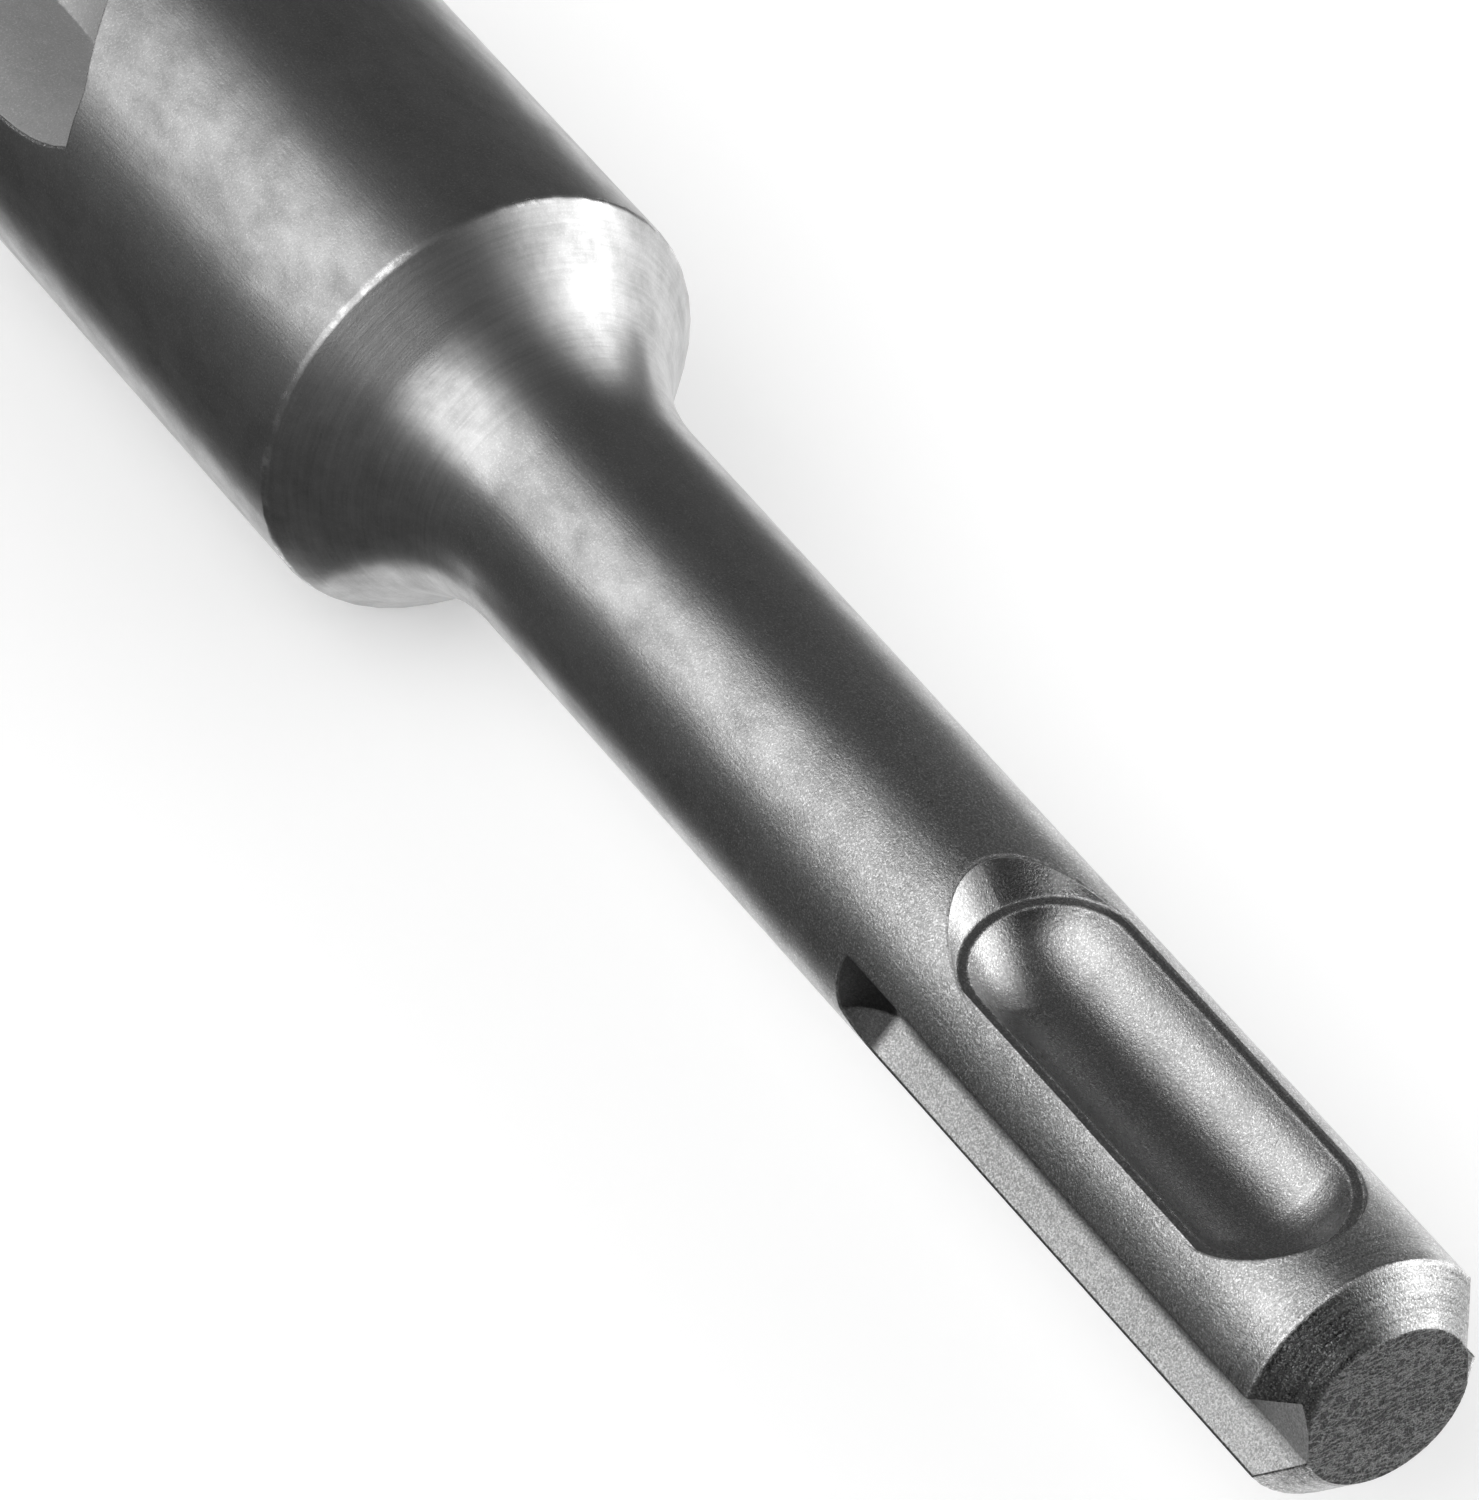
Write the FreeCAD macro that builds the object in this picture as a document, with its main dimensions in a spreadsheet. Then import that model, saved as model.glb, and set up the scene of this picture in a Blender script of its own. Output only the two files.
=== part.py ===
"""Hammer drill bit, 20 mm, with a 10 mm slotted shank.

Three pieces: the steel body (shank, shoulder, two-flute helix and head), the hard-metal
cutting plate in the head's slot, and the thin layer of braze that holds the plate.

Frame: X runs along the axis from the shank's end face to the point, Z is up, and the
origin is the centre of the end face.  The bit lies as it comes to rest: on its collar and
lands, with one lower corner of the plate just touching the ground.
Turns about the axis are measured in degrees from +Z towards +Y.
"""
import FreeCAD, Part
import math
import os
import Sketcher

doc = FreeCAD.newDocument("hammer_drill_bit")
dims = doc.addObject("Spreadsheet::Sheet", "dims")

SIZES = [
    ("overall_length", 200, "end face to point"),
    ("shank_dia", 10, "full round of the shank"),
    ("shank_length", 51.5, "end face to the start of the neck fillet"),
    ("shank_turn", 2.08, "turn of the lock pockets from straight up"),
    ("end_face_dia", 6.6, "flat end face inside the chamfer"),
    ("end_chamfer", 1.65, "chamfer along the axis"),
    ("neck_fillet", 8, "radius from the shank into the shoulder"),
    ("shoulder_slope", 42, "shoulder cone against the axis, degrees"),
    ("shoulder_edge", 0.4, "broken edge where the shoulder meets the collar"),
    ("body_dia", 18.2, "collar and lands"),
    ("drive_floor", 3.22, "axis to the floor of a drive groove"),
    ("drive_face", 1.79, "drive groove: straight torque face above the centre plane"),
    ("drive_foot", 0.93, "drive groove: foot of the sloping wall below the centre plane"),
    ("drive_slope", 48, "drive groove: slope of the outer wall, degrees"),
    ("drive_length", 24.2, "end face to the start of the run-out"),
    ("drive_runout", 3, "radius of the run-out"),
    ("lock_height", 3.68, "axis to the flat ledge of a lock pocket"),
    ("lock_width", 6.8, "lock pocket across, on its end radii"),
    ("lock_near", 7.55, "end face to the first end centre of a lock pocket"),
    ("lock_far", 20.6, "end face to the second end centre"),
    ("lock_near_wall", 67, "pocket end wall towards the end face, degrees"),
    ("lock_far_ramp", 46.5, "pocket end ramp towards the neck, degrees"),
    ("ball_dia", 7, "ball track sunk in the ledge"),
    ("ball_height", 5.55, "axis to the centre line of the ball track"),
    ("helix_lead", 41, "length of one turn of a flute"),
    ("flute_mouth", 14.5, "width of a flute along the axis, at the land"),
    ("flute_wall", 18, "slope of the flute walls, degrees"),
    ("flute_floor", 12, "radius of the flute's floor, in a plane through the axis"),
    ("core_dia", 9, "solid core between the flutes"),
    ("flute_start", 75.65, "end face to where the flute reaches its full depth"),
    ("exit_slope", 61, "rise of the flute's exit, degrees"),
    ("head_length", 15, "straight head behind the point"),
    ("nose_setback", 3, "steel nose behind the roof of the plate"),
    ("plate_stand", 1.1, "how far the plate's corners stand outside the lands"),
    ("plate_thickness", 4, "cutting plate"),
    ("plate_height", 13, "cutting plate along the axis, to the point"),
    ("plate_taper", 0.6, "how much narrower the plate is at its foot, on diameter"),
    ("point_angle", 130, "roof of the plate, degrees"),
    ("relief_angle", 22, "flank behind each cutting edge, degrees"),
    ("braze_gap", 0.15, "braze layer on each face of the plate"),
    ("overcut", 1.5, "how far cutting shapes stand outside the steel"),
]
for row, (alias, number, note) in enumerate(SIZES, start=1):
    dims.set("A%d" % row, note)
    dims.set("B%d" % row, str(number))
    dims.setAlias("B%d" % row, alias)
doc.recompute()

SHANK_R = "dims.shank_dia / 2"
BODY_R = "dims.body_dia / 2"
CORE_R = "dims.core_dia / 2"
PLATE_R = "(dims.body_dia / 2 + dims.plate_stand)"
BALL_R = "dims.ball_dia / 2"
ROOF = "tan(90 - dims.point_angle / 2)"
# the plate leans until its lower corner and the lands touch the ground together
PLATE_TURN = "(-(acos(%s / %s) + asin(dims.plate_thickness / 2 / %s)) / 1 deg)" % (
    BODY_R, PLATE_R, PLATE_R)
FLUTE_SPAN = "(dims.flute_mouth / dims.helix_lead * 360)"
HEAD_START = "(dims.overall_length - dims.head_length)"
# the lands run into the plate: turn of a flute's near wall at the head and at the exit
HEAD_TURN = "(%s + 90 - %s / 2)" % (PLATE_TURN, FLUTE_SPAN)
EXIT_TURN = "(%s + (%s - dims.flute_start) / dims.helix_lead * 360)" % (HEAD_TURN, HEAD_START)
# a cut that takes away less than this, in cubic millimetres, has missed the steel
LEAST_CUT = 1e-3


def value(expression):
    """Number that an expression of the sheet's sizes gives."""
    number = dims.evalExpression(expression)
    return float(getattr(number, "Value", number))


def origin_feature(body, role):
    return next(f for f in body.Origin.OriginFeatures if f.Role == role)


def new_feature(body, kind, name):
    return body.newObject("PartDesign::" + kind, name)


def new_sketch(body, name, plane, shift=("0", "0", "0"), turn="0"):
    """Sketch on an origin plane, turned about the bit's axis and then shifted along the
    turned plane's own directions."""
    x, y, z = shift
    sine, cosine = "sin(%s)" % turn, "cos(%s)" % turn
    if plane == "YZ_Plane":
        axis = FreeCAD.Vector(0, 0, 1)
        x, y = "(%s) * %s + (%s) * %s" % (x, cosine, y, sine), \
               "(%s) * %s - (%s) * %s" % (y, cosine, x, sine)
    else:
        axis = FreeCAD.Vector(1, 0, 0)
        y, z = "(%s) * %s + (%s) * %s" % (y, cosine, z, sine), \
               "(%s) * %s - (%s) * %s" % (z, cosine, y, sine)
    sketch = body.newObject("Sketcher::SketchObject", name)
    sketch.AttachmentSupport = [(origin_feature(body, plane), "")]
    sketch.MapMode = "FlatFace"
    # any angle but zero keeps the axis until the expression sets the real one
    sketch.AttachmentOffset = FreeCAD.Placement(FreeCAD.Vector(), FreeCAD.Rotation(axis, 1))
    for letter, expression in zip("xyz", (x, y, z)):
        sketch.setExpression("AttachmentOffset.Base." + letter, expression)
    sketch.setExpression("AttachmentOffset.Rotation.Angle", "-(%s)" % turn)
    doc.recompute()
    return sketch


def arc_between(start, end, radius):
    """Minor arc from start to end; a positive radius turns left, a negative one right."""
    chord = end - start
    height = math.sqrt(max(radius * radius - chord.Length ** 2 / 4, 0))
    left = FreeCAD.Vector(-chord.y, chord.x, 0).normalize()
    centre = (start + end) / 2 + left * math.copysign(height, radius)
    first, last = (start, end) if radius > 0 else (end, start)
    angles = [math.atan2(p.y - centre.y, p.x - centre.x) for p in (first, last)]
    circle = Part.Circle(centre, FreeCAD.Vector(0, 0, 1), abs(radius))
    return Part.ArcOfCircle(circle, angles[0], angles[1])


def pin(sketch, edge, end, coordinates):
    """Hold one end of an edge at coordinates given as expressions; "0" puts it on an axis."""
    for kind, other_axis, expression in zip(("DistanceX", "DistanceY"), (-2, -1), coordinates):
        if expression == "0":
            sketch.addConstraint(Sketcher.Constraint("PointOnObject", edge, end, other_axis))
            continue
        number = sketch.addConstraint(
            Sketcher.Constraint(kind, -1, 1, edge, end, value(expression)))
        sketch.setExpression("Constraints[%d]" % number, expression)


def draw(sketch, corners, bends=None):
    """Closed outline through the corners.  bends gives, for the edge that leaves a corner,
    the radius of its arc as an expression, and +1 or -1 for a left or right turn."""
    bends = bends or {}
    first = sketch.GeometryCount
    points = [FreeCAD.Vector(value(x), value(y), 0) for x, y in corners]
    ends = []
    for i, start in enumerate(points):
        end = points[(i + 1) % len(points)]
        if i in bends:
            radius, side = bends[i]
            sketch.addGeometry(arc_between(start, end, side * value(radius)), False)
            ends.append((1, 2) if side > 0 else (2, 1))
        else:
            sketch.addGeometry(Part.LineSegment(start, end), False)
            ends.append((1, 2))
    for i in range(len(points)):
        after = (i + 1) % len(points)
        sketch.addConstraint(Sketcher.Constraint(
            "Coincident", first + i, ends[i][1], first + after, ends[after][0]))
        pin(sketch, first + i, ends[i][0], corners[i])
    for i, (radius, side) in bends.items():
        number = sketch.addConstraint(Sketcher.Constraint("Radius", first + i, value(radius)))
        sketch.setExpression("Constraints[%d]" % number, radius)
    doc.recompute()
    return sketch


def removed(body, feature):
    """Make the feature the tip, recompute, and check that it took something away."""
    body.Tip = feature
    doc.recompute()
    if not feature.isValid() or feature.Shape.isNull():
        raise RuntimeError(feature.Name + " failed")
    if feature.Shape.Volume > feature.BaseFeature.Shape.Volume - LEAST_CUT:
        raise RuntimeError(feature.Name + " cuts nothing")
    return feature


def revolve(body, kind, sketch, name):
    """Full turn of a sketch about its own horizontal axis, added or taken away."""
    feature = new_feature(body, kind, name)
    feature.Profile = sketch
    feature.ReferenceAxis = (sketch, ["H_Axis"])
    feature.Angle = 360
    return feature


def pair(body, name, cuts):
    """Repeat cuts on the opposite side of the bit."""
    twin = new_feature(body, "PolarPattern", name)
    twin.Originals = cuts
    twin.Axis = (origin_feature(body, "X_Axis"), [""])
    twin.Angle = 360
    twin.Occurrences = 2
    return removed(body, twin)


def turned_bar(body):
    """Outline turned about the axis: end chamfer, grooved shank, its full-round guide, neck
    fillet, shoulder with a broken edge, collar."""
    slope = "dims.shoulder_slope"
    neck_x = "dims.shank_length + dims.neck_fillet * sin(%s)" % slope
    neck_r = "%s + dims.neck_fillet * (1 - cos(%s))" % (SHANK_R, slope)
    edge_r = "%s - dims.shoulder_edge * (1 - cos(%s))" % (BODY_R, slope)
    edge_x = "%s + (%s - (%s)) / tan(%s)" % (neck_x, edge_r, neck_r, slope)
    collar_x = "%s + dims.shoulder_edge * sin(%s)" % (edge_x, slope)
    sketch = new_sketch(body, "bar_outline", "XZ_Plane")
    draw(sketch, [
        ("0", "0"),
        (HEAD_START, "0"),
        (HEAD_START, BODY_R),
        (collar_x, BODY_R),
        (edge_x, edge_r),
        (neck_x, neck_r),
        ("dims.shank_length", SHANK_R),
        ("dims.end_chamfer", SHANK_R),
        ("0", "dims.end_face_dia / 2"),
    ], {5: ("dims.neck_fillet", -1)})
    bar = revolve(body, "Revolution", sketch, "turned_bar")
    doc.recompute()
    return bar


def drive_groove(body):
    """Open groove for the chuck's driving key: floor, straight torque face and sloping wall."""
    outer = "(%s + dims.overcut)" % SHANK_R
    sketch = new_sketch(body, "drive_section", "YZ_Plane",
                        ("0", "0", "dims.drive_length"), "dims.shank_turn")
    draw(sketch, [
        ("dims.drive_floor", "dims.drive_face"),
        ("dims.drive_floor", "-dims.drive_foot"),
        (outer, "-dims.drive_foot - (%s - dims.drive_floor) * tan(dims.drive_slope)" % outer),
        (outer, "dims.drive_face"),
    ])
    cut = new_feature(body, "Pocket", "drive_groove")
    cut.Profile = sketch
    cut.Type = "ThroughAll"
    return removed(body, cut)


def drive_runout(body):
    """The cutter's run-out: the groove's section swung round a line above its floor."""
    lift = "dims.drive_runout"
    sketch = new_sketch(body, "runout_section", "YZ_Plane",
                        ("dims.drive_floor + " + lift, "0", "dims.drive_length"),
                        "dims.shank_turn")
    draw(sketch, [
        ("-" + lift, "dims.drive_face"),
        ("-" + lift, "-dims.drive_foot"),
        ("0", "-dims.drive_foot - %s * tan(dims.drive_slope)" % lift),
        ("0", "dims.drive_face"),
    ])
    cut = new_feature(body, "Groove", "drive_runout")
    cut.Profile = sketch
    cut.ReferenceAxis = (sketch, ["V_Axis"])
    cut.Angle = 180
    cut.Midplane = True
    return removed(body, cut)


def ball_track(body):
    """Round-ended trough in which the chuck's locking ball travels."""
    sketch = new_sketch(body, "ball_outline", "XZ_Plane", ("0", "dims.ball_height", "0"),
                        "dims.shank_turn")
    draw(sketch, [
        ("dims.lock_near - " + BALL_R, "0"),
        ("dims.lock_near", BALL_R),
        ("dims.lock_far", BALL_R),
        ("dims.lock_far + " + BALL_R, "0"),
    ], {0: (BALL_R, -1), 2: (BALL_R, -1)})
    return removed(body, revolve(body, "Groove", sketch, "ball_track"))


def lock_outline(body, name, level):
    """Round-ended outline of a lock pocket at a level above the axis."""
    rise = "(%s - dims.lock_height)" % level
    half = "dims.lock_width / 2"
    near = "dims.lock_near - %s / tan(dims.lock_near_wall)" % rise
    far = "dims.lock_far + %s / tan(dims.lock_far_ramp)" % rise
    sketch = new_sketch(body, name, "XY_Plane", ("0", "0", level), "dims.shank_turn")
    return draw(sketch, [
        (near, half),
        ("%s - %s" % (near, half), "0"),
        (near, "-" + half),
        (far, "-" + half),
        ("%s + %s" % (far, half), "0"),
        (far, half),
    ], {0: (half, 1), 1: (half, 1), 3: (half, 1), 4: (half, 1)})


def lock_recess(body):
    """Flat ledge round the ball track, with a steep end wall and a ramp at the other end."""
    lower = lock_outline(body, "lock_lower", "dims.lock_height")
    upper = lock_outline(body, "lock_upper", "(%s + dims.overcut)" % SHANK_R)
    cut = new_feature(body, "SubtractiveLoft", "lock_recess")
    cut.Profile = lower
    cut.Sections = [upper]
    cut.Ruled = True
    return removed(body, cut)


def flute_section(sketch, near_x):
    """Flute cut by a plane through the axis: two sloping walls and a hollow floor.

    The foot of a wall is where its line meets the floor's circle, found from how far the
    circle's centre stands from the line, by the angle between the two at the foot.
    """
    wall, floor = "dims.flute_wall", "dims.flute_floor"
    middle = "(%s + dims.flute_mouth / 2)" % near_x
    centre = "(%s + %s)" % (CORE_R, floor)
    to_wall = "(dims.flute_mouth / 2 * cos(%s) + (%s - %s) * sin(%s))" % (
        wall, centre, BODY_R, wall)
    swing = "(%s + acos(%s / %s) / 1 deg)" % (wall, to_wall, floor)
    foot_x = "%s * cos(%s)" % (floor, swing)
    foot_r = "%s - %s * sin(%s)" % (centre, floor, swing)
    mouth_x = "(dims.flute_mouth / 2 + dims.overcut * tan(%s))" % wall
    mouth_r = "%s + dims.overcut" % BODY_R
    return draw(sketch, [
        ("%s - %s" % (middle, mouth_x), mouth_r),
        ("%s - %s" % (middle, foot_x), foot_r),
        ("%s + %s" % (middle, foot_x), foot_r),
        ("%s + %s" % (middle, mouth_x), mouth_r),
    ], {1: (floor, 1)})


def helix_cut(body, name, near_x, turn, length, slope=None):
    """Sweep the flute section back along its helix from near_x, rising by slope if given."""
    sketch = new_sketch(body, name + "_section", "XZ_Plane", turn=turn)
    flute_section(sketch, near_x)
    cut = new_feature(body, "SubtractiveHelix", name)
    cut.Profile = sketch
    cut.ReferenceAxis = (sketch, ["H_Axis"])
    cut.Mode = "pitch-height-angle"
    cut.setExpression("Pitch", "dims.helix_lead")
    cut.setExpression("Height", length)
    if slope:
        cut.setExpression("Angle", slope)
    cut.LeftHanded = False
    cut.Reversed = True
    return removed(body, cut)


def head_round(body):
    """Round stock of the head, with its blunt cone."""
    nose_x = "dims.overall_length - dims.nose_setback"
    sketch = new_sketch(body, "head_outline", "XZ_Plane")
    draw(sketch, [
        (HEAD_START, "0"),
        (nose_x, "0"),
        ("%s - %s * %s" % (nose_x, BODY_R, ROOF), BODY_R),
        (HEAD_START, BODY_R),
    ])
    head = revolve(body, "Revolution", sketch, "head_round")
    body.Tip = head
    doc.recompute()
    return head


def flats_cut(body, name, start_x, half, outer):
    """Two flats parallel to the plate, from start_x forward."""
    sketch = new_sketch(body, name + "_section", "YZ_Plane", ("0", "0", start_x), PLATE_TURN)
    for side in ("", "-"):
        draw(sketch, [
            (side + half, "-" + outer),
            (side + outer, "-" + outer),
            (side + outer, outer),
            (side + half, outer),
        ])
    cut = new_feature(body, "Pocket", name)
    cut.Profile = sketch
    cut.Type = "ThroughAll"
    cut.Reversed = True
    return removed(body, cut)


def steel_blank():
    """The whole steel body before its slot is milled."""
    body = doc.addObject("PartDesign::Body", "steel_blank")
    turned_bar(body)
    pair(body, "shank_pair",
         [drive_groove(body), drive_runout(body), ball_track(body), lock_recess(body)])
    rise = "(%s - %s + dims.overcut)" % (BODY_R, CORE_R)
    pair(body, "flute_pair", [
        helix_cut(body, "flute", HEAD_START, HEAD_TURN, "%s - dims.flute_start" % HEAD_START),
        helix_cut(body, "flute_exit", "dims.flute_start", EXIT_TURN,
                  "%s / tan(dims.exit_slope)" % rise, "dims.exit_slope"),
    ])
    head_round(body)
    flats_cut(body, "head_flats", HEAD_START, "(%s)" % CORE_R, "(%s + dims.overcut)" % BODY_R)
    return body


def cutting_plate():
    """Plate with a roof point: two cutting edges, each with its flank falling away behind it."""
    body = doc.addObject("PartDesign::Body", "carbide_tip")
    foot_x = "dims.overall_length - dims.plate_height"
    top_x = "dims.overall_length + dims.overcut"
    sketch = new_sketch(body, "plate_outline", "XZ_Plane")
    draw(sketch, [
        (foot_x, "0"),
        (top_x, "0"),
        (top_x, PLATE_R),
        ("dims.overall_length - %s * %s" % (PLATE_R, ROOF), PLATE_R),
        (foot_x, "%s - dims.plate_taper / 2" % PLATE_R),
    ])
    revolve(body, "Revolution", sketch, "plate_round")
    doc.recompute()
    outer = "(%s + dims.overcut)" % PLATE_R
    flats_cut(body, "plate_faces", "0", "(dims.plate_thickness / 2)", outer)
    flank = new_sketch(body, "flank_outline", "XZ_Plane", turn=PLATE_TURN)
    draw(flank, [
        ("dims.overall_length + %s * %s" % (outer, ROOF), "-" + outer),
        ("dims.overall_length - %s * %s" % (outer, ROOF), outer),
        ("dims.overall_length + 2 * %s" % outer, outer),
        ("dims.overall_length + 2 * %s" % outer, "-" + outer),
    ])
    cut = new_feature(body, "Pocket", "flank")
    cut.Profile = flank
    cut.Type = "Length"
    cut.Midplane = True
    cut.UseCustomVector = True
    cut.setExpression("Length", "2 * (dims.plate_thickness + dims.overcut)")
    cut.setExpression("Direction.x", "-tan(dims.relief_angle)")
    cut.setExpression("Direction.y", "cos(%s)" % PLATE_TURN)
    cut.setExpression("Direction.z", "-sin(%s)" % PLATE_TURN)
    removed(body, cut)
    pair(body, "flank_pair", [cut])
    return body


def slot_box():
    """Room for the plate and its braze, from the foot of the slot forward."""
    box = doc.addObject("Part::Box", "slot_room")
    wide = "(dims.plate_thickness + 2 * dims.braze_gap)"
    tall = "2 * (%s + dims.overcut)" % PLATE_R
    sine, cosine = "sin(%s)" % PLATE_TURN, "cos(%s)" % PLATE_TURN
    box.Placement = FreeCAD.Placement(
        FreeCAD.Vector(), FreeCAD.Rotation(FreeCAD.Vector(1, 0, 0), 1))
    box.setExpression("Length", "dims.plate_height + dims.braze_gap")
    box.setExpression("Width", wide)
    box.setExpression("Height", tall)
    box.setExpression("Placement.Rotation.Angle", "-" + PLATE_TURN)
    box.setExpression("Placement.Base.x",
                      "dims.overall_length - dims.plate_height - dims.braze_gap")
    box.setExpression("Placement.Base.y", "-%s / 2 * %s - %s / 2 * %s" % (wide, cosine, tall, sine))
    box.setExpression("Placement.Base.z", "%s / 2 * %s - %s / 2 * %s" % (wide, sine, tall, cosine))
    doc.recompute()
    return box


def boolean(kind, name, base, tool):
    """Boolean of two objects; kind is Cut or Common."""
    result = doc.addObject("Part::" + kind, name)
    result.Base = base
    result.Tool = tool
    doc.recompute()
    return result


blank = steel_blank()
plate = cutting_plate()
room = slot_box()
steel = boolean("Cut", "drill_body", blank, room)
filled = boolean("Common", "slot_filling", blank, room)
seam = boolean("Cut", "braze_seam", filled, plate)

os.makedirs("parts", exist_ok=True)
for item in doc.Objects:
    if any(word in item.State for word in ("Invalid", "Error")):
        raise RuntimeError("%s: %s" % (item.Name, item.State))
for node in (steel, plate, seam):
    node.Label = node.Name
    shape = node.Shape
    if shape.isNull() or not shape.isValid():
        raise RuntimeError(node.Name + " has no valid shape")
    shape.exportStep("parts/%s.step" % node.Label)
    print(node.Label, "solids", len(shape.Solids), "volume", round(shape.Volume, 1))
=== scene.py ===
"""Looks of the hammer drill bit: steel, hard metal and braze, a pale floor and soft light.

Units are metres in the bit's own frame: X along the axis from the shank's end face to the
point, Z up.  Sizes written in millimetres are multiplied by MM.
"""
import math

import bpy
from mathutils import Matrix, Vector


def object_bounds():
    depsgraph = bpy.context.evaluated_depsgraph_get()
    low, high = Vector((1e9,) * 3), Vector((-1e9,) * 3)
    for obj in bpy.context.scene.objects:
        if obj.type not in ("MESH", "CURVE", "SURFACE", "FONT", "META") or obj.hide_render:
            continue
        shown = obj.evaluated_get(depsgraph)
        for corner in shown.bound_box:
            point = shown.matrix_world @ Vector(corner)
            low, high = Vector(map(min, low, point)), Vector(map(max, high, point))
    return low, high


MM = 0.001
WHITE = (1.0, 1.0, 1.0, 1.0)

# the turned outline, in millimetres
END_FACE_R = 3.3
SHANK_R = 5.0
BODY_R = 9.1
CHAMFER = 1.65
NECK_FILLET = 8.0
NECK_START = 51.5
NECK_END = 56.853
COLLAR_START = 59.3

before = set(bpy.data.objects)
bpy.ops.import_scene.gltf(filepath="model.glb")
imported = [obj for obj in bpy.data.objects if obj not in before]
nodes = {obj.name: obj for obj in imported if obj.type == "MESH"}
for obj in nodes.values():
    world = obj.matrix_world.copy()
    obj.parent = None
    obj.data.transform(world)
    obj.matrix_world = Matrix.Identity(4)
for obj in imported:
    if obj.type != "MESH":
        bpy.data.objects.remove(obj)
cad_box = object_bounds()
floor_z = float(cad_box[0][2])


class Nodes:
    """One node tree, with short calls for the nodes that this scene uses."""

    def __init__(self, tree):
        self.tree = tree

    def feed(self, sockets, values):
        """Put on each named socket a plain value, or a link from another node's output."""
        for name, value in values.items():
            if isinstance(value, bpy.types.NodeSocket):
                self.tree.links.new(value, sockets[name])
            else:
                sockets[name].default_value = value

    def feed_node(self, name, values):
        """Feed the inputs of a node that the tree had from the start."""
        self.feed(self.tree.nodes[name].inputs, values)

    def node(self, kind, inputs=None, **settings):
        """New node with its settings, and with the named inputs fed."""
        made = self.tree.nodes.new(kind)
        for name, value in settings.items():
            setattr(made, name, value)
        self.feed(made.inputs, inputs or {})
        return made

    def math(self, operation, a, b=0.0):
        made = self.node("ShaderNodeMath", {0: a, 1: b}, operation=operation)
        return made.outputs["Value"]

    def larger(self, a, b):
        return self.math("MAXIMUM", a, b)

    def one_minus(self, value):
        return self.math("SUBTRACT", 1.0, value)

    def total(self, first, *others):
        for value in others:
            first = self.math("ADD", first, value)
        return first

    def product(self, first, *others):
        for value in others:
            first = self.math("MULTIPLY", first, value)
        return first

    def sum_of(self, base, *rows):
        """base plus the product of each row."""
        return self.total(base, *[self.product(*row) for row in rows])

    def ramp(self, factor, first, last, start=0.0, end=1.0):
        """Straight ramp from start to end while factor goes from first to last."""
        made = self.node("ShaderNodeMapRange", {
            "Value": factor, "From Min": first, "From Max": last,
            "To Min": start, "To Max": end}, clamp=True)
        return made.outputs["Result"]

    def fade(self, factor, first, last):
        """1 up to first, falling to 0 at last."""
        return self.ramp(factor, first, last, 1.0, 0.0)

    def band(self, factor, start, end, soft):
        """1 between start and end, fading to 0 over soft on both sides."""
        return self.product(self.ramp(factor, start - soft, start + soft),
                            self.fade(factor, end - soft, end + soft))

    def blend(self, amount, without, with_it):
        """without where amount is 0, with_it where it is 1."""
        made = self.node("ShaderNodeMix", {"Factor": amount, "A": without, "B": with_it},
                         data_type="FLOAT")
        return made.outputs["Result"]

    def blend_normals(self, amount, without, with_it):
        made = self.node("ShaderNodeMix", data_type="VECTOR")
        sockets = {socket.identifier: socket for socket in (*made.inputs, *made.outputs)}
        self.feed(sockets, {"Factor_Float": amount, "A_Vector": without, "B_Vector": with_it})
        return sockets["Result_Vector"]

    def grey(self, value):
        made = self.node("ShaderNodeCombineColor", {"Red": value, "Green": value, "Blue": value})
        return made.outputs["Color"]

    def bump(self, height, strength, distance, onto=None):
        inputs = {"Height": height, "Strength": strength, "Distance": distance}
        if onto is not None:
            inputs["Normal"] = onto
        return self.node("ShaderNodeBump", inputs).outputs["Normal"]


class Finish(Nodes):
    """Material of one piece, patterned by the place on the piece in millimetres."""

    def __init__(self, name):
        self.material = bpy.data.materials.new(name)
        self.material.use_nodes = True
        super().__init__(self.material.node_tree)
        place = self.node("ShaderNodeTexCoord").outputs["Object"]
        self.where = self.stretched(place, (1.0 / MM, 1.0 / MM, 1.0 / MM))

    def stretched(self, where, factors):
        return self.node("ShaderNodeMapping", {"Vector": where, "Scale": factors}).outputs["Vector"]

    def noise(self, scale, detail, roughness, stretch=None):
        """Noise of about scale lumps to the millimetre, times stretch along X, Y and Z.

        Most of its values lie between 0.3 and 0.7.
        """
        where = self.stretched(self.where, stretch) if stretch else self.where
        made = self.node("ShaderNodeTexNoise", {
            "Vector": where, "Scale": scale, "Detail": detail, "Roughness": roughness})
        return made.outputs["Fac"]

    def worn_corner(self, radius):
        """Normal rounded over corners, and how much a place belongs to such a corner."""
        rounded = self.node("ShaderNodeBevel", {"Radius": radius}, samples=4).outputs["Normal"]
        as_meshed = self.node("ShaderNodeNewGeometry").outputs["Normal"]
        likeness = self.node("ShaderNodeVectorMath", {0: rounded, 1: as_meshed},
                             operation="DOT_PRODUCT").outputs["Value"]
        return rounded, self.ramp(likeness, 0.97, 0.88)


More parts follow.
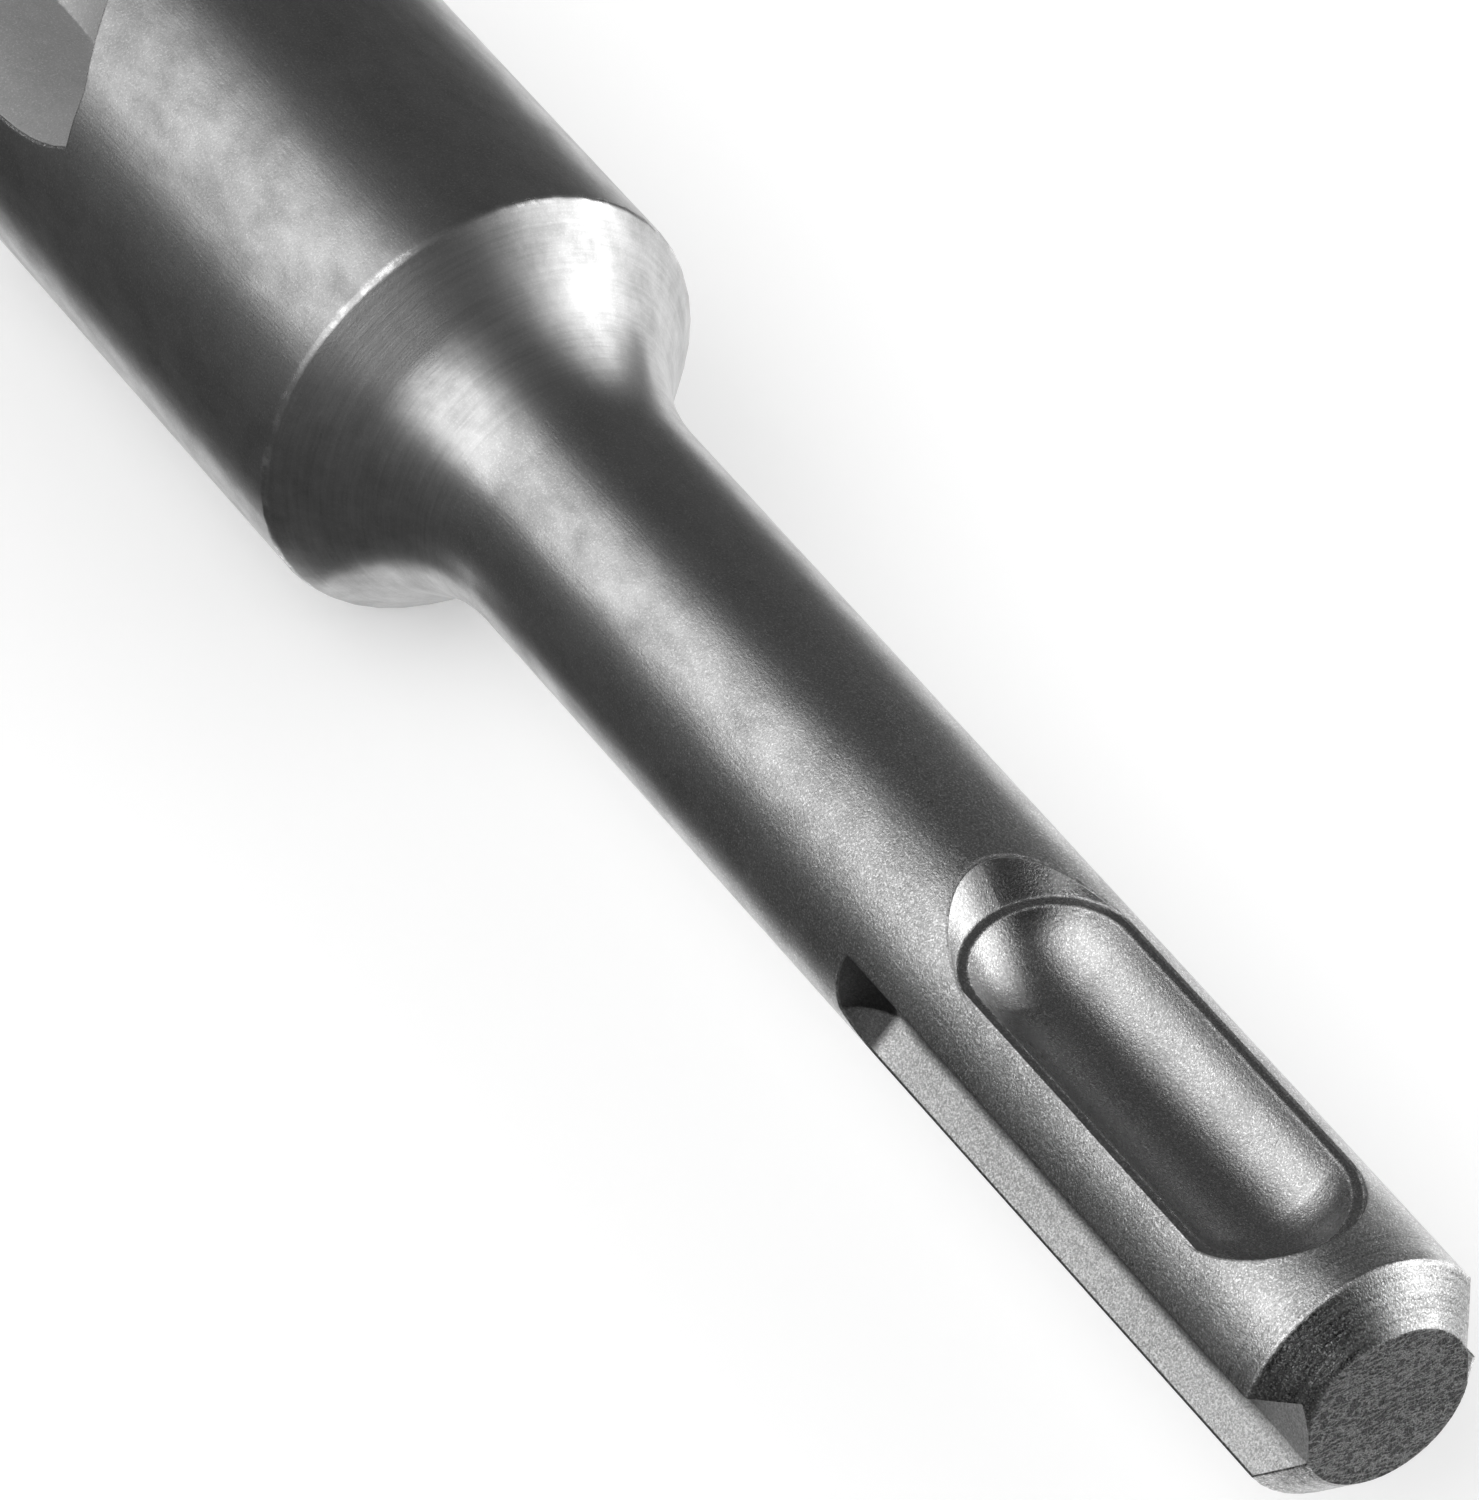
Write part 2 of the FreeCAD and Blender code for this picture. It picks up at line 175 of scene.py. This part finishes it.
class Steel(Finish):
    """Blasted and handled steel.

    Its grain of about a tenth of a millimetre is coarsest at the shank's end and finest on
    the shoulder and the collar, where soft clouds of tone take its place.  The shoulder, the
    end chamfer and the ring behind it keep the lathe's fine rings.  The sheared end face is
    dark and fibrous.  Corners are rubbed bright, in broken lines.
    """

    MIDDLE_TONE = 0.48
    LIGHTEST_TONE = 0.95
    # grey of the painted shade in the groove's hollow and along its foot
    PAINTED_SHADE_TONE = 0.03
    MIDDLE_ROUGHNESS = 0.31
    CORNER_RADIUS = 0.16

    # where the marks lie, in millimetres: each pair is the two ends of a soft step
    END_FACE = (0.02, 0.05)
    CUT_DEPTH = (0.05, 0.10)
    COARSE_GRAIN = (20.0, 45.0)
    GROOVE_FLOOR = (3.0, 3.15)
    GROOVE_FOOT = (3.5, 3.25)
    GROOVE_SIDE = (3.2, 3.35)
    GROOVE_RUN_OUT = (25.1, 25.5)
    GROOVE_END = (27.6, 27.8)
    # the lathe's rings behind the end face, from start to end
    END_RINGS = (0.06, 3.3)

    def __init__(self):
        super().__init__("steel")
        place = self.node("ShaderNodeSeparateXYZ", {"Vector": self.where}).outputs
        self.along, self.across, self.up = place["X"], place["Y"], place["Z"]
        self.radius = self.math("SQRT", self.total(self.product(self.across, self.across),
                                                   self.product(self.up, self.up)))
        self.rounded, self.corner = self.worn_corner(self.CORNER_RADIUS * MM)
        self.mark_cuts()
        self.mark_turned_parts()
        self.add_patterns()
        self.feed_node("Principled BSDF", {
            "Base Color": self.grey(self.tone()), "Metallic": self.metal(),
            "Roughness": self.roughness(), "Normal": self.relief()})

    def mark_cuts(self):
        """Mark the sheared end face and what was milled below the turned skin."""
        self.end_face = self.fade(self.along, *self.END_FACE)
        skin_radius = self.total(
            self.ramp(self.along, 0.0, CHAMFER, END_FACE_R, SHANK_R),
            self.ramp(self.along, COLLAR_START - 0.2, COLLAR_START, 0.0, BODY_R - SHANK_R))
        depth = self.math("SUBTRACT", skin_radius, self.radius)
        self.cut = self.product(self.ramp(depth, *self.CUT_DEPTH), self.one_minus(self.end_face))
        self.flute = self.product(self.cut, self.ramp(self.along, COLLAR_START, COLLAR_START + 1.0))
        self.shank_cut = self.math("SUBTRACT", self.cut, self.flute)
        sideways = self.math("ABSOLUTE", self.across)
        self.groove = self.product(
            self.cut, self.ramp(sideways, *self.GROOVE_FLOOR),
            self.fade(self.math("ABSOLUTE", self.up), *self.GROOVE_SIDE),
            self.fade(self.along, *self.GROOVE_END))
        self.pocket = self.math("SUBTRACT", self.shank_cut, self.groove)
        # painted shade: the steel is made near black in the hollow where the cutter ran out and
        # along the groove's foot
        hollow = self.product(self.groove, self.ramp(self.along, *self.GROOVE_RUN_OUT))
        thin_at_end = self.ramp(self.along, 2.0, 6.0, 0.35, 1.0)
        foot = self.product(self.groove, self.ramp(sideways, *self.GROOVE_FOOT), thin_at_end)
        self.painted_shade = self.larger(hollow, foot)

    def mark_turned_parts(self):
        """Mark the shank's end, the parts that keep the lathe's rings, and their outer edges."""
        uncut = self.one_minus(self.cut)
        self.shank_end = self.ramp(self.along, *self.COARSE_GRAIN, 1.0, 0.25)
        self.shoulder = self.band(self.along, NECK_START + 1.5, COLLAR_START, 0.8)
        self.chamfer = self.product(self.band(self.along, *self.END_RINGS, 0.06), uncut)
        edges = self.total(self.band(self.along, COLLAR_START - 0.25, COLLAR_START + 0.05, 0.06),
                           self.band(self.along, CHAMFER - 0.08, CHAMFER + 0.1, 0.05))
        self.turned_edge = self.product(edges, uncut)

    def add_patterns(self):
        """Fine patterns that tone, roughness and relief share."""
        self.grain = self.noise(scale=10.0, detail=3.0, roughness=0.7)
        self.specks = self.noise(scale=15.0, detail=1.0, roughness=0.5)
        self.chips = self.noise(scale=3.0, detail=4.0, roughness=0.7)
        self.clouds = self.noise(scale=1.0, detail=5.0, roughness=0.6, stretch=(0.45, 0.7, 0.7))
        self.rings = self.noise(scale=1.0, detail=3.0, roughness=0.7, stretch=(7.0, 0.25, 0.25))
        self.streaks = self.noise(scale=1.0, detail=2.0, roughness=0.5, stretch=(0.5, 9.0, 9.0))
        folds = self.noise(scale=1.3, detail=5.0, roughness=0.6, stretch=(1.0, 1.3, 3.2))
        threads = self.fade(self.math("ABSOLUTE", self.math("SUBTRACT", folds, 0.5)), 0.0, 0.06)
        self.torn = self.total(self.product(threads, 0.6),
                               self.ramp(self.grain, 0.40, 0.72, 0.0, 0.5))

        # coarse says how strong the blasted grain is
        coarse = self.total(self.product(self.shank_end, 0.95), self.product(self.pocket, -0.25))
        self.coarse = self.product(self.larger(coarse, 0.25),
                                   self.one_minus(self.product(self.shoulder, 0.6)))
        hollows = self.noise(scale=3.1, detail=2.0, roughness=0.5)
        self.pits = self.product(self.ramp(hollows, 0.30, 0.24), self.shank_end)
        crystals = self.noise(scale=9.0, detail=0.0, roughness=0.5)
        self.sparks = self.product(self.ramp(crystals, 0.68, 0.72), self.shank_end,
                                   self.shank_end, self.blend(self.pocket, 1.0, 0.4))
        worn_edge = self.product(self.turned_edge, self.ramp(self.clouds, 0.44, 0.60))
        self.rubbed = self.product(self.larger(self.corner, worn_edge),
                                   self.ramp(self.chips, 0.44, 0.54))

    def tone(self):
        """Grey of the skin, from 0 for black to 1 for white."""
        in_groove = self.blend(self.groove, 1.0, 1.6)
        ring_strength = self.total(self.product(self.chamfer, 2.0),
                                   self.product(self.shoulder, 0.7))
        # painted shade: the end chamfer is darker on its +Y side, fading out where it meets the
        # shank
        chamfer_shade = self.ramp(self.along, CHAMFER - 0.1, CHAMFER, -0.24, 0.0)
        lighter_end = self.ramp(self.along, 3.0, 9.0, 0.06, 0.0)
        steel = self.sum_of(
            self.MIDDLE_TONE,
            (self.ramp(self.clouds, 0.34, 0.66, -0.09, 0.07), self.blend(self.cut, 1.0, 0.45)),
            (self.ramp(self.grain, 0.38, 0.66, -0.13, 0.16), self.coarse, in_groove),
            (self.ramp(self.specks, 0.59, 0.65), self.coarse, 0.5),
            (self.ramp(self.rings, 0.35, 0.65, -0.06, 0.06), ring_strength),
            (lighter_end,),
            (self.shoulder, 0.03),
            (chamfer_shade, self.chamfer, self.ramp(self.across, -0.5, 1.5)),
            (self.groove, 0.14),
            (self.rubbed, 0.35),
            (self.sparks, 0.35),
            (self.pits, -0.22),
        )
        steel = self.math("MINIMUM", steel, self.LIGHTEST_TONE)
        # painted shade: the steel goes near black in the groove's hollow and along its foot
        shaded_steel = self.blend(self.product(self.painted_shade, 0.9), steel, self.PAINTED_SHADE_TONE)
        return self.blend(self.end_face, shaded_steel, self.ramp(self.torn, 0.0, 1.0, 0.17, 0.85))

    def metal(self):
        """1 on bright steel, less where the blasted skin scatters light like grey paint."""
        # the groove keeps full metal where its painted shade lies
        unshaded_groove = self.product(self.groove, self.one_minus(self.painted_shade))
        return self.sum_of(1.0, (self.flute, -0.35), (unshaded_groove, -0.25))

    def roughness(self):
        return self.sum_of(
            self.MIDDLE_ROUGHNESS,
            (self.ramp(self.clouds, 0.34, 0.66, 0.03, -0.03),),
            (self.coarse, 0.03),
            (self.chamfer, -0.03),
            (self.shank_cut, -0.07),
            (self.flute, 0.16),
            (self.groove, 0.24),
            (self.rubbed, -0.06),
            (self.end_face, 0.26),
        )

    def turned_normal(self):
        """Exact normal of the turned skin, from how fast its radius grows along X."""
        into_neck = self.ramp(self.along, NECK_START, NECK_END, 0.0, NECK_END - NECK_START)
        rise = self.math("SQRT", self.math("SUBTRACT", NECK_FILLET ** 2,
                                           self.product(into_neck, into_neck)))
        chamfer_slope = self.ramp(self.along, CHAMFER - 0.1, CHAMFER + 0.1,
                                  (SHANK_R - END_FACE_R) / CHAMFER, 0.0)
        neck_slope = self.product(self.math("DIVIDE", into_neck, rise),
                                  self.fade(self.along, COLLAR_START - 0.3, COLLAR_START))
        normal = self.node("ShaderNodeCombineXYZ", {
            "X": self.product(self.total(chamfer_slope, neck_slope), -1.0),
            "Y": self.math("DIVIDE", self.across, self.radius),
            "Z": self.math("DIVIDE", self.up, self.radius)}).outputs["Vector"]
        turn = self.node("ShaderNodeVectorTransform", {"Vector": normal},
                         vector_type="NORMAL", convert_from="OBJECT", convert_to="WORLD")
        return turn.outputs["Vector"]

    def relief(self):
        """Exact normal on the turned skin and the mesh's own elsewhere, with fine relief on it."""
        as_meshed = self.larger(self.larger(self.cut, self.end_face),
                                self.ramp(self.corner, 0.0, 0.3))
        normal = self.blend_normals(as_meshed, self.turned_normal(), self.rounded)
        ring_strength = self.total(self.product(self.chamfer, 0.4),
                                   self.product(self.shoulder, 0.12))
        unringed = self.one_minus(self.larger(self.shoulder, self.chamfer))
        for pattern, strength, depth in (
                (self.grain, self.product(self.coarse, 0.5), 0.05),
                (self.rings, ring_strength, 0.03),
                (self.streaks, self.product(unringed, 0.12), 0.03),
                (self.chips, self.product(self.corner, 0.8), 0.15),
                (self.torn, self.product(self.end_face, 0.9), 0.08)):
            normal = self.bump(pattern, strength, depth * MM, normal)
        return normal


def carbide_finish():
    """Ground hard metal: darker, with fine straight grinding marks and rubbed corners."""
    carbide = Finish("carbide")
    rounded, corner = carbide.worn_corner(0.06 * MM)
    marks = carbide.noise(scale=1.0, detail=3.0, roughness=0.6, stretch=(0.5, 7.0, 7.0))
    grain = carbide.noise(scale=14.0, detail=2.0, roughness=0.5)
    tone = carbide.total(carbide.ramp(marks, 0.3, 0.7, 0.30, 0.38),
                         carbide.ramp(grain, 0.35, 0.65, -0.03, 0.03),
                         carbide.product(corner, 0.12))
    carbide.feed_node("Principled BSDF", {
        "Base Color": carbide.grey(tone), "Metallic": 1.0,
        "Roughness": carbide.ramp(marks, 0.3, 0.7, 0.36, 0.28),
        "Normal": carbide.bump(marks, 0.3, 0.01 * MM, rounded)})
    return carbide


def braze_finish():
    """Dull brass-coloured braze with small lumps."""
    braze = Finish("braze")
    lumps = braze.noise(scale=2.5, detail=3.0, roughness=0.6)
    braze.feed_node("Principled BSDF", {
        "Base Color": (0.60, 0.45, 0.22, 1.0), "Metallic": 1.0,
        "Roughness": braze.ramp(lumps, 0.3, 0.7, 0.35, 0.55),
        "Normal": braze.bump(lumps, 0.5, 0.05 * MM)})
    return braze


def dress(node, finish):
    """Give a carried-over piece its finish."""
    node.data.materials.clear()
    node.data.materials.append(finish.material)


def looked_at(tree):
    """1 for rays that look at the background: from the camera, a gloss or a glass."""
    rays = tree.node("ShaderNodeLightPath").outputs
    seen = tree.larger(rays["Is Camera Ray"], rays["Is Glossy Ray"])
    return tree.larger(seen, rays["Is Transmission Ray"])


def add_world(fill):
    """White where it is looked at, and an even fill as light."""
    world = bpy.data.worlds.new("white_room")
    bpy.context.scene.world = world
    world.use_nodes = True
    tree = Nodes(world.node_tree)
    strength = tree.ramp(looked_at(tree), 0.0, 1.0, fill, 1.0)
    tree.feed_node("Background", {"Color": WHITE, "Strength": strength})


def sheet(name, corners, colour, glow=0.0):
    """Flat stage piece through four corners, with a plain colour and its own glow."""
    mesh = bpy.data.meshes.new(name)
    mesh.from_pydata(corners, [], [(0, 1, 2, 3)])
    made = bpy.data.objects.new(name, mesh)
    bpy.context.collection.objects.link(made)
    material = bpy.data.materials.new(name)
    material.use_nodes = True
    Nodes(material.node_tree).feed_node("Principled BSDF", {
        "Base Color": (colour, colour, colour, 1.0), "Roughness": 0.9,
        "Specular IOR Level": 0.1, "Emission Color": WHITE, "Emission Strength": glow})
    mesh.materials.append(material)
    return made


def level_corners(x0, x1, y0, y1, z):
    """Corners of a level rectangle, in order round it."""
    return [(x0, y0, z), (x1, y0, z), (x1, y1, z), (x0, y1, z)]


def add_floor(lift):
    """Pale floor under the bit; lift brings the lit floor up to the white behind it."""
    half = 4.0
    floor = sheet("floor", level_corners(-half, half, -half, half, floor_z), colour=0.8)
    tree = Nodes(floor.data.materials[0].node_tree)
    strength = tree.ramp(looked_at(tree), 0.0, 1.0, 0.0, lift)
    tree.feed_node("Principled BSDF", {"Emission Strength": strength})


def mirrored_card(name, corners, glow):
    """Studio card that nothing shows but the metal's reflections."""
    card = sheet(name, corners, colour=0.0, glow=glow)
    card.visible_camera = False
    card.visible_diffuse = False
    card.visible_transmission = False
    card.visible_volume_scatter = False
    card.visible_shadow = False


def add_tent(reach, height, glow, glow_before_shank):
    """Tent over the bit with a faint glow, and another glow on the wall before its shank's end."""
    foot = level_corners(-reach, reach, -reach, reach, floor_z)
    top = level_corners(-reach, reach, -reach, reach, height)
    for i in range(4):
        j = (i + 1) % 4
        before_shank = foot[i][0] == foot[j][0] == -reach
        mirrored_card("tent_side_%d" % i, [foot[i], foot[j], top[j], top[i]],
                      glow_before_shank if before_shank else glow)
    mirrored_card("tent_top", top, glow)


def add_cards(glow):
    """Dark cards on the floor, left and right of the bit and before its shank's end."""
    above_floor = floor_z + 0.05 * MM
    back, far = -0.6, 0.8
    before_end, collar, past_collar = -1.0 * MM, COLLAR_START * MM, 0.068
    left_of_shank, left_of_body = 7.5 * MM, 11.0 * MM
    right_of_body, right_of_end = -0.045, -0.12
    for name, x0, x1, y0, y1, card_glow in (
            ("shank_card", back, collar, left_of_shank, far, glow),
            ("body_card", collar, far, left_of_body, far, glow),
            ("right_card", past_collar, far, -far, right_of_body, glow),
            ("end_card", back, before_end, right_of_end, left_of_shank, 0.5 * glow)):
        mirrored_card(name, level_corners(x0, x1, y0, y1, above_floor), card_glow)


def add_lamp(name, direction, distance, size, glow, shape):
    """Soft lamp in a direction from the bit; size is along X and across it.

    glow is how bright the lamp looks: 1 is as bright as the white background.
    """
    data = bpy.data.lights.new(name, "AREA")
    data.shape = shape
    data.size, data.size_y = size
    data.energy = glow * math.pi * size[0] * size[1]
    lamp = bpy.data.objects.new(name, data)
    back = Vector(direction).normalized()
    across = back.cross(Vector((1.0, 0.0, 0.0))).normalized()
    along = across.cross(back)
    turn = Matrix((along, across, back)).transposed().to_4x4()
    lamp.matrix_world = Matrix.Translation(back * distance) @ turn
    lamp.visible_camera = False
    bpy.context.collection.objects.link(lamp)


def add_lamps():
    """Long overhead box on the left, and a wide box low on the right.

    Each is a bright core before wider and dimmer faces, so that its edges are soft.
    """
    for name, direction, distance, size, glow, shape in (
            ("long_core", (0.12, 0.68, 0.73), 0.75, (1.2, 0.62), 0.85, "RECTANGLE"),
            ("long_face", (0.12, 0.62, 0.78), 0.76, (1.5, 0.86), 0.65, "RECTANGLE"),
            ("side_core", (-0.22, -0.92, 0.24), 0.98, (0.9, 0.50), 0.8, "ELLIPSE"),
            ("side_ring", (-0.24, -0.90, 0.30), 1.00, (1.3, 0.84), 0.6, "ELLIPSE"),
            ("side_face", (-0.26, -0.86, 0.38), 1.02, (1.7, 1.20), 0.5, "ELLIPSE")):
        add_lamp(name, direction, distance, size, glow, shape)


def add_camera():
    """Camera where the photograph was taken, found from the shank's round and its grooves."""
    place = Vector((-253.423, 184.163, 330.157)) * MM
    forward = Vector((0.612255, -0.382654, -0.691896))
    up = Vector((0.586729, -0.366700, 0.721997))
    right = forward.cross(up)
    data = bpy.data.cameras.new("camera")
    data.sensor_fit = "VERTICAL"
    data.sensor_height = 36.0
    data.lens = 323.6
    data.clip_end = 20.0
    camera = bpy.data.objects.new("camera", data)
    turn = Matrix((right, up, -forward)).transposed().to_4x4()
    camera.matrix_world = Matrix.Translation(place) @ turn
    bpy.context.collection.objects.link(camera)
    bpy.context.scene.camera = camera


bpy.context.scene.view_settings.view_transform = "Standard"
dress(nodes["drill_body"], Steel())
dress(nodes["carbide_tip"], carbide_finish())
dress(nodes["braze_seam"], braze_finish())
add_world(fill=0.55)
add_floor(lift=0.28)
add_tent(reach=2.0, height=1.6, glow=0.075, glow_before_shank=0.02)
add_cards(glow=0.075)
add_lamps()
add_camera()
